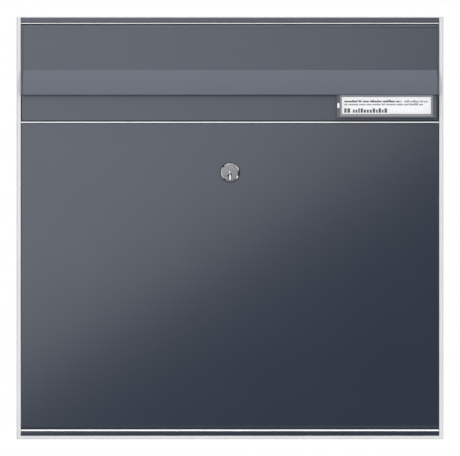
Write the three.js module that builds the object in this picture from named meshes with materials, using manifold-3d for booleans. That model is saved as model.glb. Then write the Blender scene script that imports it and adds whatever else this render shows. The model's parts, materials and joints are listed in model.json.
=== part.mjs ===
// Wall mounted mailbox: a sheet-steel casing with a letter flap, a name panel and a locked door.
// Millimetres. +X right, +Y towards the wall, +Z up. The origin is the centre of the rear face.

import * as THREE from 'three';
import { mergeVertices } from 'three/addons/utils/BufferGeometryUtils.js';
import Module from 'manifold-3d';

const wasm = await Module();
wasm.setup();

// ---- driving dimensions ----

const CASE = { width: 378, height: 374, depth: 100, rim: 10, brow: 7.5, sheet: 1.2, bend: 1.6, flange: 15 };
const FRAME_Y = -CASE.depth; // outer face of the casing's front flange
const RIM_Y = FRAME_Y - CASE.rim; // front of the rim that stands round the panels
const BROW_Y = FRAME_Y - CASE.brow; // front of the top wall, behind the top strip
const RIM_GAP = 0.3;

const PANEL = { width: 370, sheet: 1.5, standoff: 11, rearGap: 1.5, bend: 1 };
const FACE_Y = FRAME_Y - PANEL.standoff; // front face of the flap and the door
const REAR_Y = FRAME_Y - PANEL.rearGap; // rear edges of the panels

// heights down the front, from the casing's top edge
const TOP_MARGIN = 0.9;
const TOP_STRIP = 4.1;
const TOP_GAP = 1.5;
const FLAP_FLAT = 40.7;
const FLAP_LIP = 22.4;
const NAME_STRIP = 22.9; // seen below the lip
const NAME_GAP = 1.8;
const DOOR = 270.8;
const DOOR_GAP = 2;
const BOTTOM_STRIP = 3.6;

const TOP_STRIP_TOP = CASE.height / 2 - TOP_MARGIN;
const FLAP_TOP = TOP_STRIP_TOP - TOP_STRIP - TOP_GAP;
const LIP_TOP = FLAP_TOP - FLAP_FLAT;
const LIP_BOTTOM = LIP_TOP - FLAP_LIP;
const NAME_BOTTOM = LIP_BOTTOM - NAME_STRIP;
const DOOR_TOP = NAME_BOTTOM - NAME_GAP;
const DOOR_BOTTOM = DOOR_TOP - DOOR;
const BOTTOM_STRIP_TOP = DOOR_BOTTOM - DOOR_GAP;
const PANELS_BOTTOM = BOTTOM_STRIP_TOP - BOTTOM_STRIP;
const DIVIDER = { gap: 0.3, leg: 1, legHeight: 9 };

// both hinges: the panel's edge is rounded about the hinge axis
const HINGE = { edge: 3.5, ear: 2.3, bore: 1.2, pin: 1, earX: 178, earWidth: 2, notch: 3.4 };
const BRACKET = { near: 7.5, far: 24, base: 1.5 }; // distances from the hinge axis, and the base's thickness
const HINGE_Y = FACE_Y + HINGE.edge;
const FLAP_AXIS_Z = FLAP_TOP - HINGE.edge;
const DOOR_AXIS_Z = DOOR_BOTTOM + HINGE.edge;

const FLAP = { sheet: 2, lipReach: 11, nose: 0.4, cap: 1.7, capRearY: FRAME_Y - 2.2 };
const NAME = { faceY: FACE_Y + 3, top: LIP_BOTTOM + 8 };
const RAIL = { bottom: 82, top: 137, y: FRAME_Y + CASE.sheet + 0.3, halfWidth: 186, shelf: 12 };
const GUIDE = { halfWidth: 176, lipY: -82, endY: -48, drop: 24, tab: 14 };

const LOCK = { z: 49.1, head: 8.2, gasket: 9, body: 7.6, hole: 8, bore: 6.1, plug: 5.8, cap: 7, camReach: 41,
  camWidth: 13, screw: 1.5 };
const CAM_Y = -95; // front face of the cam, just behind the mid rail

// walls of the nameplate's holder: one at each side, one above and one below the label
const PLATE = { x: 138.2, z: 107.9, width: 82.3, height: 19, side: 1.4, above: 1.4, below: 2.1, depth: 3.4 };
const TAB = { x: 95.8, z: 108.2, width: 1.9, height: 4.6 };
const CARRIER = { left: 94.3, right: 182.2, bottom: 97.4, top: 120.4, faceY: FACE_Y - 6, wall: 2 };
const FIXING = { x: 150, z: 150, hole: 4.2, grommet: 9 };

const ARC_STEPS = 6; // chords in a quarter bend
const ROUND = 32; // sides of a turned piece

// ---- finishes ----

const finish = (color, roughness, metalness) => ({ color, roughness, metalness });
const CASING_PAINT = finish(0xdfe1e3, 0.45, 0.1);
const PANEL_PAINT = finish(0x4a4f58, 0.42, 0.3);
const STEEL = finish(0xb4b6b8, 0.35, 0.9);
const NICKEL = finish(0x9a9a9c, 0.3, 0.9);
const RUBBER = finish(0x1c1c1e, 0.9, 0);
const DARK_PLASTIC = finish(0x3a3e45, 0.6, 0);
const GREY_PLASTIC = finish(0xa8abad, 0.5, 0);
const CLEAR_PLASTIC = finish(0xf2f4f5, 0.1, 0);
const PAPER = finish(0xffffff, 0.9, 0);

// ---- helpers ----

const mailbox = new THREE.Group();

function addPiece(name, geometry, look) {
  const mesh = new THREE.Mesh(geometry, new THREE.MeshStandardMaterial(look));
  mesh.name = name;
  mailbox.add(mesh);
}

function toSolid(geometry) {
  const plain = geometry.index ? geometry.toNonIndexed() : geometry.clone();
  plain.deleteAttribute('normal');
  plain.deleteAttribute('uv');
  const merged = mergeVertices(plain, 1e-4);
  const mesh = new wasm.Mesh({
    numProp: 3,
    vertProperties: new Float32Array(merged.attributes.position.array),
    triVerts: new Uint32Array(merged.index.array),
  });
  return new wasm.Manifold(mesh);
}

function toGeometry(solid) {
  const mesh = solid.getMesh();
  const geometry = new THREE.BufferGeometry();
  geometry.setAttribute('position', new THREE.BufferAttribute(new Float32Array(mesh.vertProperties), 3));
  geometry.setIndex(new THREE.BufferAttribute(new Uint32Array(mesh.triVerts), 1));
  return geometry;
}

// a block between two corners
function block(low, high) {
  const size = high.map((value, i) => value - low[i]);
  const middle = high.map((value, i) => (value + low[i]) / 2);
  return new THREE.BoxGeometry(...size).translate(...middle);
}

// a profile drawn in (y, z), drawn out along X between two places
function alongX(profile, fromX, toX) {
  const geometry = new THREE.ExtrudeGeometry(profile, {
    depth: toX - fromX,
    bevelEnabled: false,
    curveSegments: ARC_STEPS * 2,
  });
  const turn = new THREE.Matrix4().set(0, 0, 1, fromX, 1, 0, 0, 0, 0, 1, 0, 0, 0, 0, 0, 1);
  return geometry.applyMatrix4(turn);
}

// a profile drawn in (x, y), drawn out along Z between two heights
function alongZ(profile, fromZ, toZ) {
  const geometry = new THREE.ExtrudeGeometry(profile, {
    depth: toZ - fromZ,
    bevelEnabled: false,
    curveSegments: ARC_STEPS,
  });
  return geometry.translate(0, 0, fromZ);
}

// a profile of (radius, distance along the axis) turned about an axis along Y
function turnedAlongY(points, x, z) {
  const profile = points.map(([radius, y]) => new THREE.Vector2(radius, y));
  return new THREE.LatheGeometry(profile, ROUND).translate(x, 0, z);
}

// a plain pin along X
function pinAlongX(radius, fromX, toX, y, z) {
  const geometry = new THREE.CylinderGeometry(radius, radius, toX - fromX, ROUND / 2);
  return geometry.rotateZ(Math.PI / 2).translate((fromX + toX) / 2, y, z);
}

function shapeOf(points) {
  return new THREE.Shape(points.map(([a, b]) => new THREE.Vector2(a, b)));
}

// points on an arc, in degrees from the first axis of the sketch
function arcPoints(a, b, radius, from, to, steps = ARC_STEPS) {
  const points = [];
  for (let i = 0; i <= steps; i += 1) {
    const angle = ((from + ((to - from) * i) / steps) * Math.PI) / 180;
    points.push([a + radius * Math.cos(angle), b + radius * Math.sin(angle)]);
  }
  return points;
}

// a rectangle in (x, z) with rounded corners, drawn out along Y
function roundedPlate(x, z, width, height, radius, fromY, toY) {
  const w = width / 2 - radius;
  const h = height / 2 - radius;
  const outline = [
    ...arcPoints(x + w, -z - h, radius, -90, 0),
    ...arcPoints(x + w, -z + h, radius, 0, 90),
    ...arcPoints(x - w, -z + h, radius, 90, 180),
    ...arcPoints(x - w, -z - h, radius, 180, 270),
  ];
  const geometry = new THREE.ExtrudeGeometry(shapeOf(outline), {
    depth: toY - fromY,
    bevelEnabled: false,
  });
  return geometry.rotateX(-Math.PI / 2).translate(0, fromY, 0);
}

function mirrored(side, low, high) {
  return side > 0 ? [low, high] : [-high, -low];
}

const SIDES = [['left', -1], ['right', 1]];

// ---- casing ----

// the outside of a box whose front edges are bent; the top edge may have a bend of its own
function bentBox(width, height, rearY, frontY, bend, topBend = bend) {
  const w = width / 2;
  const h = height / 2;
  const plan = shapeOf([
    [-w, rearY],
    ...arcPoints(-w + bend, frontY + bend, bend, 180, 270),
    ...arcPoints(w - bend, frontY + bend, bend, 270, 360),
    [w, rearY],
  ]);
  const side = shapeOf([
    [rearY, h],
    ...arcPoints(frontY + topBend, h - topBend, topBend, 90, 180),
    ...arcPoints(frontY + bend, -h + bend, bend, 180, 270),
    [rearY, -h],
  ]);
  return toSolid(alongZ(plan, -h, h)).intersect(toSolid(alongX(side, -w, w)));
}

// one folded sheet: walls, a narrow rim round the panels, a step back and a flange round the opening
function makeHousingShell() {
  const { width, height, sheet, bend, flange } = CASE;
  const w = width / 2;
  const h = height / 2;
  const rimX = PANEL.width / 2 + RIM_GAP;
  const rimZ = PANELS_BOTTOM - RIM_GAP;
  const behindFlange = FRAME_Y + sheet;
  const outside = bentBox(width, height, -0.4, RIM_Y, bend, 0.4);
  const brow = block([-rimX, RIM_Y - 1, h - 2 * sheet], [rimX, BROW_Y, h + 1]);
  const cavity = block([-w + sheet, behindFlange, -h + sheet], [w - sheet, 1, h - sheet]);
  const recess = block([-rimX, RIM_Y - 1, rimZ], [rimX, FRAME_Y, h - sheet]);
  const opening = block([-w + flange, FRAME_Y - 1, -h + flange], [w - flange, FRAME_Y + 3, h - flange]);
  const fold = sheet - 0.1;
  const behindRim = RIM_Y + sheet;
  const left = block([-w + sheet, behindRim, -h + sheet], [-rimX - fold, behindFlange + 0.1, h - sheet]);
  const right = block([rimX + fold, behindRim, -h + sheet], [w - sheet, behindFlange + 0.1, h - sheet]);
  const below = block([-w + sheet, behindRim, -h + sheet], [w - sheet, behindFlange + 0.1, rimZ - fold]);
  const shell = [cavity, recess, brow, opening, left, right, below]
    .reduce((solid, cut) => solid.subtract(toSolid(cut)), outside);
  addPiece('housing_shell', toGeometry(shell), CASING_PAINT);
}

// the rear wall is a shallow tray inside the casing, with a hole near each corner
function makeBackPanel() {
  const gap = 0.3;
  const w = CASE.width / 2 - CASE.sheet - gap;
  const h = CASE.height / 2 - CASE.sheet - gap;
  const depth = 14;
  const outside = toSolid(block([-w, -depth, -h], [w, 0, h]));
  const hollow = toSolid(block(
    [-w + CASE.sheet, -depth - 1, -h + CASE.sheet],
    [w - CASE.sheet, -CASE.sheet, h - CASE.sheet],
  ));
  let tray = outside.subtract(hollow);
  const hole = [[0, -3], [FIXING.hole, -3], [FIXING.hole, 1], [0, 1]];
  for (const x of [-FIXING.x, FIXING.x]) {
    for (const z of [-FIXING.z, FIXING.z]) {
      tray = tray.subtract(toSolid(turnedAlongY(hole, x, z)));
    }
  }
  addPiece('back_panel', toGeometry(tray), CASING_PAINT);
}

function makeFixingGrommets() {
  const frontY = -CASE.sheet - 0.1;
  const { hole, grommet } = FIXING;
  const bore = hole - 1;
  let count = 0;
  for (const z of [FIXING.z, -FIXING.z]) {
    for (const x of [-FIXING.x, FIXING.x]) {
      count += 1;
      const ring = [[bore, frontY], [bore, frontY - 3], [grommet - 2, frontY - 3], [grommet, frontY - 1.6],
        [grommet, frontY], [bore, frontY]];
      addPiece(`fixing_grommet_${count}`, turnedAlongY(ring, x, z), RUBBER);
    }
  }
}

// the rail between the letter slot and the door opening, with a shelf at its top
function makeMidRail() {
  const { bottom, top, y, halfWidth, shelf } = RAIL;
  const t = CASE.sheet;
  const bend = 1.6;
  const profile = shapeOf([
    [y, bottom],
    [y + 2 * t, bottom],
    [y + 2 * t, bottom + 8],
    [y + t, bottom + 8 + t],
    [y + t, top - bend],
    ...arcPoints(y + bend, top - bend, bend - t, 180, 90, 3).slice(1),
    [y + shelf, top - t],
    [y + shelf, top],
    ...arcPoints(y + bend, top - bend, bend, 90, 180),
  ]);
  addPiece('mid_rail', alongX(profile, -halfWidth, halfWidth), CASING_PAINT);
}

// a sloping sheet behind the slot: letters slide down it and hands can't reach over it
function makeMailGuide() {
  const { halfWidth, lipY, endY, drop, tab } = GUIDE;
  const t = CASE.sheet;
  const top = RAIL.top - 2.5;
  const profile = shapeOf([
    [lipY - 4, top],
    [lipY - 4, top - t],
    [lipY, top - t],
    [endY, top - drop - t],
    [endY + 1, top - drop - tab],
    [endY + 1 + t, top - drop - tab],
    [endY + t, top - drop],
    [lipY, top],
  ]);
  addPiece('mail_guide', alongX(profile, -halfWidth, halfWidth), CASING_PAINT);
  const tall = 11;
  for (const [name, side] of SIDES) {
    const [fromX, toX] = mirrored(side, halfWidth + 0.3, CASE.width / 2 - CASE.sheet - 0.3);
    const bracket = shapeOf([
      [lipY, top - 3],
      [lipY, top - 3 - tall],
      [endY, top - drop - 3 - tall],
      [endY, top - drop - 3],
    ]);
    addPiece(`guide_bracket_${name}`, alongX(bracket, fromX, toX), CASING_PAINT);
  }
}

// ---- fixed front pieces ----

// a bar with softened front corners
function stripProfile(low, high, rearY) {
  const corner = 0.5;
  return shapeOf([
    [rearY, low],
    ...arcPoints(FACE_Y + corner, low + corner, corner, 270, 180, 3),
    ...arcPoints(FACE_Y + corner, high - corner, corner, 180, 90, 3),
    [rearY, high],
  ]);
}

function makeStrips() {
  const half = PANEL.width / 2;
  const low = TOP_STRIP_TOP - TOP_STRIP;
  const nose = toSolid(alongX(stripProfile(low, TOP_STRIP_TOP, BROW_Y - 0.3), -half, half));
  const web = toSolid(block([-half, BROW_Y - 1, low], [half, FRAME_Y - 0.2, TOP_STRIP_TOP - 1]));
  addPiece('top_strip', toGeometry(nose.add(web)), PANEL_PAINT);
  const bottom = stripProfile(PANELS_BOTTOM, BOTTOM_STRIP_TOP, FRAME_Y - 0.2);
  addPiece('bottom_strip', alongX(bottom, -half, half), PANEL_PAINT);
}

// a light angle section: its nose fills the gap between two panels, its foot lies on the casing
function makeDivider(name, low, high, noseY, legSide, legWidth, legRearY) {
  const { gap, leg, legHeight } = DIVIDER;
  const half = PANEL.width / 2;
  const nose = block([-half, noseY, low + gap], [half, FRAME_Y - gap, high - gap]);
  const foot = legSide > 0
    ? block([-legWidth, legRearY - leg, low + gap], [legWidth, legRearY, low + legHeight])
    : block([-legWidth, legRearY - leg, high - legHeight], [legWidth, legRearY, high - gap]);
  const web = block([-legWidth, FRAME_Y - 1, low + gap], [legWidth, legRearY, high - gap]);
  const profile = toSolid(nose).add(toSolid(foot)).add(toSolid(web));
  addPiece(name, toGeometry(profile), CASING_PAINT);
}

function makeDividers() {
  const onFlange = FRAME_Y - DIVIDER.gap;
  const onRail = RAIL.y - DIVIDER.gap;
  const railWidth = CASE.width / 2 - CASE.flange - 0.5;
  const legWidth = 170;
  makeDivider('divider_top', FLAP_TOP, TOP_STRIP_TOP - TOP_STRIP, FACE_Y + 1, -1, legWidth, onFlange);
  makeDivider('divider_middle', DOOR_TOP, NAME_BOTTOM, FACE_Y + 1, 1, railWidth, onRail);
  makeDivider('divider_bottom', BOTTOM_STRIP_TOP, DOOR_BOTTOM, FACE_Y + 0.3, 1, legWidth, onFlange);
}

// the fixed panel under the flap, a bent channel with closed ends
function makeNamePanel() {
  const half = PANEL.width / 2;
  const height = NAME.top - NAME_BOTTOM;
  const middle = (NAME.top + NAME_BOTTOM) / 2;
  const t = PANEL.sheet;
  const rearY = FRAME_Y - 0.3;
  const outside = bentBox(2 * half, height, rearY, NAME.faceY, PANEL.bend);
  const inside = bentBox(2 * (half - t), height - 2 * t, 1, NAME.faceY + t, 0.3);
  addPiece('name_panel', toGeometry(outside.subtract(inside).translate([0, 0, middle])), PANEL_PAINT);
}

// a dark block on the name panel that reaches forward under the lip and carries the nameplate
function makeNameplateCarrier() {
  const { left, right, bottom, top, faceY, wall } = CARRIER;
  const rearY = NAME.faceY - 0.1;
  const outside = toSolid(block([left, faceY, bottom], [right, rearY, top]));
  const hollow = toSolid(block(
    [left + wall, faceY + wall, bottom + wall],
    [right - wall, rearY + 1, top - wall],
  ));
  addPiece('nameplate_carrier', toGeometry(outside.subtract(hollow)), DARK_PLASTIC);
}

function makeNameplate() {
  const { x, z, width, height, side, above, below, depth } = PLATE;
  const rearY = CARRIER.faceY - 0.1;
  const frontY = rearY - depth;
  const pocketY = frontY + 2.6;
  const pocket = { z: z + (below - above) / 2, width: width - 2 * side, height: height - above - below };
  const outside = toSolid(roundedPlate(x, z, width, height, 0.8, frontY, rearY));
  const hollow = toSolid(roundedPlate(x, pocket.z, pocket.width, pocket.height, 0.5, frontY - 1, pocketY));
  addPiece('nameplate_holder', toGeometry(outside.subtract(hollow)), GREY_PLASTIC);
  const inner = 0.4;
  const w = pocket.width - inner;
  const h = pocket.height - inner;
  const label = roundedPlate(x, pocket.z, w, h, 0.3, pocketY - 0.6, pocketY - 0.2);
  const cover = roundedPlate(x, pocket.z, w, h, 0.3, frontY + 0.3, pocketY - 0.8);
  addPiece('nameplate_label', label, PAPER);
  addPiece('nameplate_cover', cover, CLEAR_PLASTIC);
  const tab = roundedPlate(TAB.x, TAB.z, TAB.width, TAB.height, 0.6, rearY - 2.4, rearY);
  addPiece('nameplate_release_tab', tab, PAPER);
}

// ---- hinges ----

// a bracket on the casing's flange whose ear reaches forward to the hinge axis
function makeHingeBracket(name, side, axisZ, reach) {
  const { ear, bore, earX, earWidth } = HINGE;
  const rearY = FRAME_Y - 0.2;
  const baseFrontY = rearY - BRACKET.base;
  const near = axisZ + reach * BRACKET.near;
  const far = axisZ + reach * BRACKET.far;
  const armLow = [baseFrontY + 0.3, near];
  const armHigh = [baseFrontY + 0.3, far];
  const towards = (point) => (Math.atan2(point[1] - axisZ, point[0] - HINGE_Y) * 180) / Math.PI;
  const tangent = (point) => {
    const distance = Math.hypot(point[1] - axisZ, point[0] - HINGE_Y);
    return (Math.acos(ear / distance) * 180) / Math.PI;
  };
  const first = towards(armLow) - reach * tangent(armLow);
  const last = towards(armHigh) + reach * tangent(armHigh);
  const rim = arcPoints(HINGE_Y, axisZ, ear, last, first + reach * 360, 18);
  const outline = shapeOf([...rim, armLow, armHigh]);
  const hole = new THREE.Path();
  hole.absarc(HINGE_Y, axisZ, bore, 0, Math.PI * 2);
  outline.holes.push(hole);
  const [fromX, toX] = mirrored(side, earX - earWidth / 2, earX + earWidth / 2);
  const [baseFromX, baseToX] = mirrored(side, CASE.width / 2 - CASE.flange + 0.5, earX + 5);
  const [low, high] = near < far ? [near, far] : [far, near];
  const base = toSolid(block([baseFromX, baseFrontY, low], [baseToX, rearY, high]));
  addPiece(name, toGeometry(toSolid(alongX(outline, fromX, toX)).add(base)), STEEL);
}

// what is cut out of a rounded panel edge so that the bracket's ear can stand in it
function hingeNotch(side, axisZ, reach) {
  const { earX, notch, edge, ear } = HINGE;
  const [fromX, toX] = mirrored(side, earX - notch / 2, earX + notch / 2);
  const core = toSolid(pinAlongX(ear + 0.3, fromX, toX, HINGE_Y, axisZ));
  const back = axisZ - reach * (edge + 1);
  const inward = axisZ + reach * (edge + 3);
  const behind = toSolid(block(
    [fromX, HINGE_Y - 0.3, Math.min(back, inward)],
    [toX, FRAME_Y - 0.5, Math.max(back, inward)],
  ));
  const pocket = toSolid(block(
    [fromX, HINGE_Y - ear - 0.3, Math.min(axisZ, inward)],
    [toX, FRAME_Y - 0.5, Math.max(axisZ, inward)],
  ));
  return core.add(behind).add(pocket);
}

// ---- flap ----

// section of the flap: a tube about the hinge axis, a flat face and a lip that leans forward
function flapSection() {
  const { sheet, lipReach, nose } = FLAP;
  const tipY = FACE_Y - lipReach;
  const slope = Math.atan2(FLAP_LIP, lipReach);
  const noseAngle = (slope * 180) / Math.PI - 270;
  const joint = HINGE.edge - sheet;
  return shapeOf([
    [FACE_Y, LIP_TOP],
    ...arcPoints(HINGE_Y, FLAP_AXIS_Z, HINGE.edge, 180, -120, 24),
    [HINGE_Y - joint, FLAP_AXIS_Z - HINGE.edge],
    [FACE_Y + sheet, LIP_TOP - 0.6],
    [tipY + sheet / Math.sin(slope), LIP_BOTTOM],
    ...arcPoints(tipY + nose / Math.tan(slope / 2), LIP_BOTTOM + nose, nose, -90, noseAngle, 5),
  ]);
}

function makeFlapPanel() {
  const half = PANEL.width / 2 - FLAP.cap - 0.1;
  const section = flapSection();
  const bore = new THREE.Path();
  bore.absarc(HINGE_Y, FLAP_AXIS_Z, HINGE.bore, 0, Math.PI * 2);
  section.holes.push(bore);
  let panel = toSolid(alongX(section, -half, half));
  for (const [, side] of SIDES) {
    panel = panel.subtract(hingeNotch(side, FLAP_AXIS_Z, -1));
  }
  addPiece('flap_panel', toGeometry(panel), PANEL_PAINT);
}

function makeFlapCaps() {
  const { lipReach, cap, capRearY } = FLAP;
  const tipY = FACE_Y - lipReach;
  const outline = shapeOf([
    [FACE_Y, LIP_TOP],
    ...arcPoints(HINGE_Y, FLAP_AXIS_Z, HINGE.edge, 180, 40, 10),
    [capRearY, FLAP_AXIS_Z],
    [capRearY, LIP_TOP],
    [FACE_Y + 2.4, LIP_TOP - 8],
    [tipY + 3.4, LIP_BOTTOM],
    [tipY, LIP_BOTTOM],
  ]);
  for (const [name, side] of SIDES) {
    const [fromX, toX] = mirrored(side, PANEL.width / 2 - cap, PANEL.width / 2);
    addPiece(`flap_end_cap_${name}`, alongX(outline, fromX, toX), DARK_PLASTIC);
    const [pinFromX, pinToX] = mirrored(side, HINGE.earX - 12, HINGE.earX + 4.4);
    const pin = pinAlongX(HINGE.pin, pinFromX, pinToX, HINGE_Y, FLAP_AXIS_Z);
    addPiece(`flap_hinge_pin_${name}`, pin, STEEL);
    makeHingeBracket(`flap_hinge_bracket_${name}`, side, FLAP_AXIS_Z, -1);
  }
}

// rubber buffers on the casing's flange: one pair under the flap, one pair behind the door
function makeBumpers() {
  const rearY = FRAME_Y - 0.1;
  const buffer = (tipY) => [
    [0, rearY], [4.5, rearY], [4.5, rearY - 2],
    [3.6, tipY + 0.8], [2.6, tipY], [0, tipY],
  ];
  for (const [name, side] of SIDES) {
    const x = side * (HINGE.earX + 0.6);
    const flapTip = FACE_Y + FLAP.sheet + 0.3;
    addPiece(`flap_bumper_${name}`, turnedAlongY(buffer(flapTip).reverse(), x, LIP_TOP + 5), RUBBER);
    const doorTip = FACE_Y + PANEL.sheet + 0.3;
    addPiece(`door_bumper_${name}`, turnedAlongY(buffer(doorTip).reverse(), x, DOOR_TOP - 12), RUBBER);
  }
}

// ---- door ----

// a folded tray whose bottom edge is rolled about the hinge axis
function doorBody(inset) {
  const half = PANEL.width / 2 - inset;
  const faceY = FACE_Y + inset;
  const top = DOOR_TOP - inset;
  const edge = HINGE.edge - inset;
  const bend = Math.max(PANEL.bend - inset, 0.3);
  const rearY = inset > 0 ? FRAME_Y : REAR_Y;
  const rollTop = DOOR_AXIS_Z + 1.5;
  const side = shapeOf([
    [rearY, top],
    ...arcPoints(faceY + bend, top - bend, bend, 90, 180),
    ...arcPoints(HINGE_Y, DOOR_AXIS_Z, edge, 180, 360, 14),
    [HINGE_Y + edge, rollTop],
    [rearY, rollTop],
  ]);
  const plan = shapeOf([
    [-half, FRAME_Y],
    ...arcPoints(-half + bend, faceY + bend, bend, 180, 270),
    ...arcPoints(half - bend, faceY + bend, bend, 270, 360),
    [half, FRAME_Y],
  ]);
  const drawnX = toSolid(alongX(side, -half, half));
  return drawnX.intersect(toSolid(alongZ(plan, DOOR_BOTTOM - 1, DOOR_TOP + 1)));
}

function makeDoorPanel() {
  let panel = doorBody(0).subtract(doorBody(PANEL.sheet));
  for (const [, side] of SIDES) {
    panel = panel.subtract(hingeNotch(side, DOOR_AXIS_Z, 1));
  }
  const hole = [[0, FACE_Y - 1], [LOCK.hole, FACE_Y - 1], [LOCK.hole, REAR_Y], [0, REAR_Y]];
  panel = panel.subtract(toSolid(turnedAlongY(hole, 0, LOCK.z)));
  addPiece('door_panel', toGeometry(panel), PANEL_PAINT);
}

// a channel across the inside of the door that carries the lock
function makeDoorStiffener() {
  const webY = FACE_Y + PANEL.sheet + 0.1;
  const t = CASE.sheet;
  const low = LOCK.z - 24;
  const high = LOCK.z + 24;
  const channel = shapeOf([
    [webY, low],
    [REAR_Y - 0.4, low],
    [REAR_Y - 0.4, low + t],
    [webY + t, low + t],
    [webY + t, high - t],
    [REAR_Y - 0.4, high - t],
    [REAR_Y - 0.4, high],
    [webY, high],
  ]);
  const hole = [[0, webY - 1], [LOCK.hole, webY - 1], [LOCK.hole, webY + 3], [0, webY + 3]];
  const body = toSolid(alongX(channel, -160, 160)).subtract(toSolid(turnedAlongY(hole, 0, LOCK.z)));
  addPiece('door_stiffener', toGeometry(body), CASING_PAINT);
}

function makeDoorHinges() {
  const { pin, bore, edge, earX } = HINGE;
  const bushing = edge - PANEL.sheet - 0.1;
  for (const [name, side] of SIDES) {
    const [pinFromX, pinToX] = mirrored(side, earX - 16, earX + 4);
    addPiece(`door_hinge_pin_${name}`, pinAlongX(pin, pinFromX, pinToX, HINGE_Y, DOOR_AXIS_Z), STEEL);
    const [fromX, toX] = mirrored(side, earX - 15, earX - 2.5);
    const ring = new THREE.Shape();
    ring.absarc(HINGE_Y, DOOR_AXIS_Z, bushing, 0, Math.PI * 2);
    const hole = new THREE.Path();
    hole.absarc(HINGE_Y, DOOR_AXIS_Z, bore, 0, Math.PI * 2);
    ring.holes.push(hole);
    addPiece(`door_hinge_bushing_${name}`, alongX(ring, fromX, toX), DARK_PLASTIC);
    makeHingeBracket(`door_hinge_bracket_${name}`, side, DOOR_AXIS_Z, 1);
  }
}

// ---- lock ----

function makeLockBarrel() {
  const { head, gasket, body, bore, cap, z } = LOCK;
  const frontY = FACE_Y - 1.6;
  const seatY = FACE_Y - 0.5;
  const rearY = CAM_Y - 1.6;
  const profile = [
    [bore, rearY], [body, rearY], [body, seatY], [head, seatY], [head, frontY + 0.6], [head - 0.6, frontY],
    [cap + 0.2, frontY], [cap + 0.2, frontY + 1.2], [bore, frontY + 1.2], [bore, rearY],
  ];
  addPiece('lock_barrel', turnedAlongY(profile.reverse(), 0, z), NICKEL);
  const ring = [[body + 0.3, FACE_Y - 0.05], [gasket, FACE_Y - 0.05], [gasket, FACE_Y - 0.45],
    [body + 0.3, FACE_Y - 0.45], [body + 0.3, FACE_Y - 0.05]];
  addPiece('lock_gasket', turnedAlongY(ring.reverse(), 0, z), RUBBER);
}

function makeLockNut() {
  const frontY = FACE_Y + PANEL.sheet + CASE.sheet + 0.3;
  const thickness = 3.5;
  const acrossCorners = 12.7;
  const outline = shapeOf(arcPoints(0, -LOCK.z, acrossCorners, 0, 300, 5));
  const hole = new THREE.Path();
  hole.absarc(0, -LOCK.z, LOCK.body + 0.3, 0, Math.PI * 2);
  outline.holes.push(hole);
  const nut = new THREE.ExtrudeGeometry(outline, { depth: thickness, bevelEnabled: false });
  addPiece('lock_nut', nut.rotateX(-Math.PI / 2).translate(0, frontY, 0), NICKEL);
}

// the turning core: a keyway slit in front and a square end behind for the cam
function makeLockPlug() {
  const { plug, cap, z } = LOCK;
  const frontY = FACE_Y - 1.7;
  const shoulderY = CAM_Y - 0.3;
  const endY = CAM_Y + 2.2;
  const square = 3;
  const body = [[0, shoulderY], [plug, shoulderY], [plug, frontY + 1], [cap, frontY + 1], [cap, frontY + 0.3],
    [cap - 0.3, frontY], [0, frontY]];
  const screwHole = LOCK.screw + 0.3;
  const screwBore = [[0, endY + 1], [screwHole, endY + 1], [screwHole, endY - 9], [0, endY - 9]];
  const tenon = block([-square, shoulderY - 0.5, z - square], [square, endY, z + square]);
  const keyway = block([-0.7, frontY - 1, z - 4.4], [0.7, frontY + 9, z + 0.9]);
  const core = toSolid(turnedAlongY(body.reverse(), 0, z))
    .add(toSolid(tenon))
    .subtract(toSolid(turnedAlongY(screwBore.reverse(), 0, z)))
    .subtract(toSolid(keyway));
  addPiece('lock_plug', toGeometry(core), NICKEL);
}

// the cam lies to the left when unlocked, and stands up behind the mid rail when locked
function makeCam() {
  const { camReach, camWidth, z } = LOCK;
  const thickness = 2;
  const r = camWidth / 2;
  const outline = shapeOf([
    ...arcPoints(0, -z, r, -90, 90, 10),
    ...arcPoints(-camReach + 3, -z + r - 3, 3, 90, 180, 4),
    ...arcPoints(-camReach + 3, -z - r + 3, 3, 180, 270, 4),
  ]);
  const square = 3.3;
  outline.holes.push(new THREE.Path([
    new THREE.Vector2(-square, -z - square),
    new THREE.Vector2(-square, -z + square),
    new THREE.Vector2(square, -z + square),
    new THREE.Vector2(square, -z - square),
  ]));
  const cam = new THREE.ExtrudeGeometry(outline, { depth: thickness, bevelEnabled: false });
  addPiece('lock_cam', cam.rotateX(-Math.PI / 2).translate(0, CAM_Y, 0), STEEL);
  const seatY = CAM_Y + 2.4;
  const screw = [[0, seatY - 8], [LOCK.screw, seatY - 8], [LOCK.screw, seatY], [5, seatY], [5, seatY + 1.6],
    [3.5, seatY + 2.8], [0, seatY + 2.8]];
  addPiece('cam_screw', turnedAlongY(screw, 0, z), STEEL);
}

makeHousingShell();
makeBackPanel();
makeFixingGrommets();
makeMidRail();
makeMailGuide();
makeStrips();
makeDividers();
makeNamePanel();
makeNameplateCarrier();
makeNameplate();
makeFlapPanel();
makeFlapCaps();
makeBumpers();
makeDoorPanel();
makeDoorStiffener();
makeDoorHinges();
makeLockBarrel();
makeLockNut();
makeLockPlug();
makeCam();

export default mailbox;
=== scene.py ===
import json
import math
import random

import bmesh
import bpy
from mathutils import Matrix, Vector


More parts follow.
